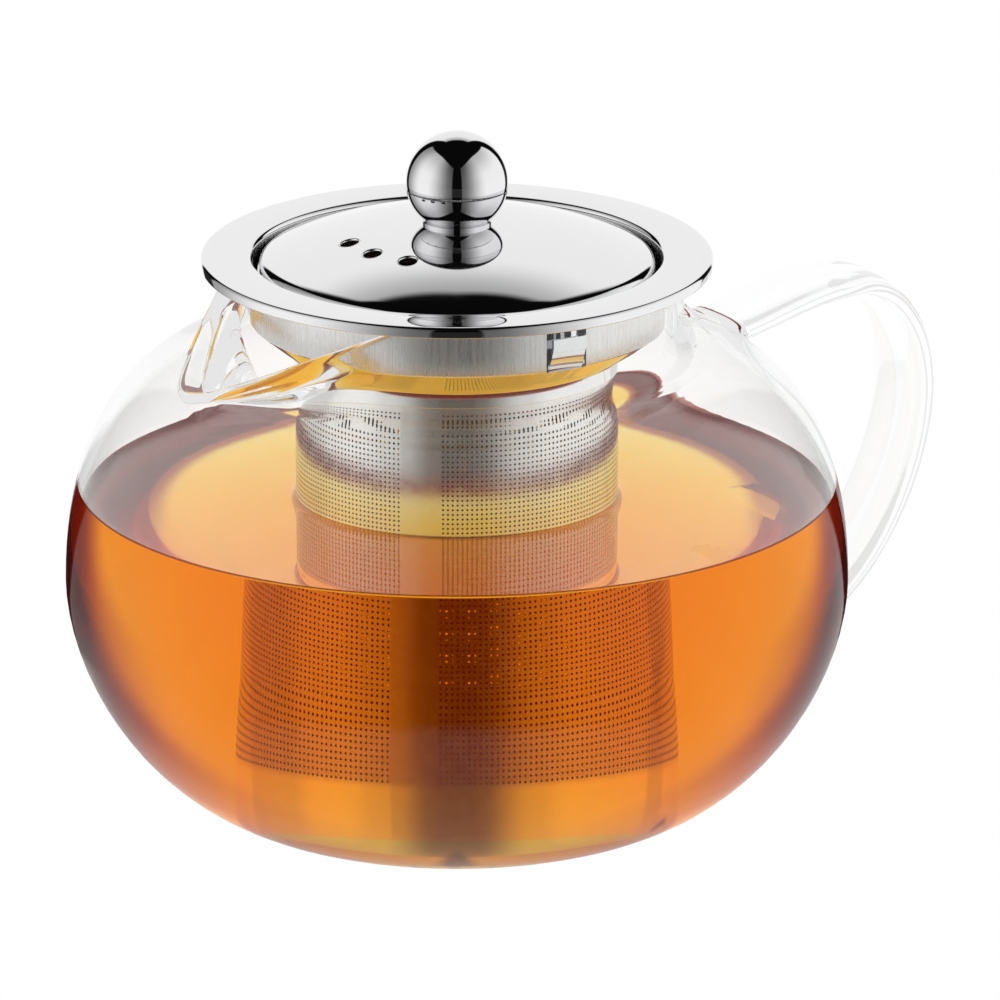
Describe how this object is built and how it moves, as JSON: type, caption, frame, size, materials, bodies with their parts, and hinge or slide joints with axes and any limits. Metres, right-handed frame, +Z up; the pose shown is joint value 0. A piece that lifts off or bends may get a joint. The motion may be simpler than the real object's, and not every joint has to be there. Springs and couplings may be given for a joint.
{
  "type": "glass teapot with infuser",
  "caption": "Squat round glass teapot with a pulled pouring lip, a glass strap handle, a perforated steel infuser hung in its neck and a domed steel lid with a ball knob.",
  "frame": {"origin": "centre of the flat base, on the surface that the teapot stands on", "axes": "+Z up along the axis of the body, +X towards the handle, -X towards the spout"},
  "size_m": [0.1855, 0.156, 0.1406],
  "materials": {
    "clear_glass": "clear, fire-polished borosilicate glass",
    "polished_steel": "mirror-polished stainless steel",
    "satin_steel": "brushed stainless steel",
    "perforated_steel": "etched stainless sheet with fine holes"
  },
  "bodies": {
    "pot": {"pot_body": "clear_glass", "pot_handle": "clear_glass"},
    "infuser": {"infuser_collar": "satin_steel", "filter_sheet": "perforated_steel", "filter_base": "polished_steel"},
    "lid": {"lid_cover": "polished_steel", "knob_neck_ring": "polished_steel", "knob_lower_shell": "polished_steel", "knob_upper_shell": "polished_steel", "knob_boss": "satin_steel", "knob_screw": "satin_steel", "knob_washer": "satin_steel"}
  },
  "joints": [
    {"name": "infuser_lift", "type": "slide", "parent": "pot", "child": "infuser", "axis": [0, 0, 1], "range_m": [0, 0.12]},
    {"name": "lid_lift", "type": "slide", "parent": "infuser", "child": "lid", "axis": [0, 0, 1], "range_m": [0, 0.06]}
  ]
}
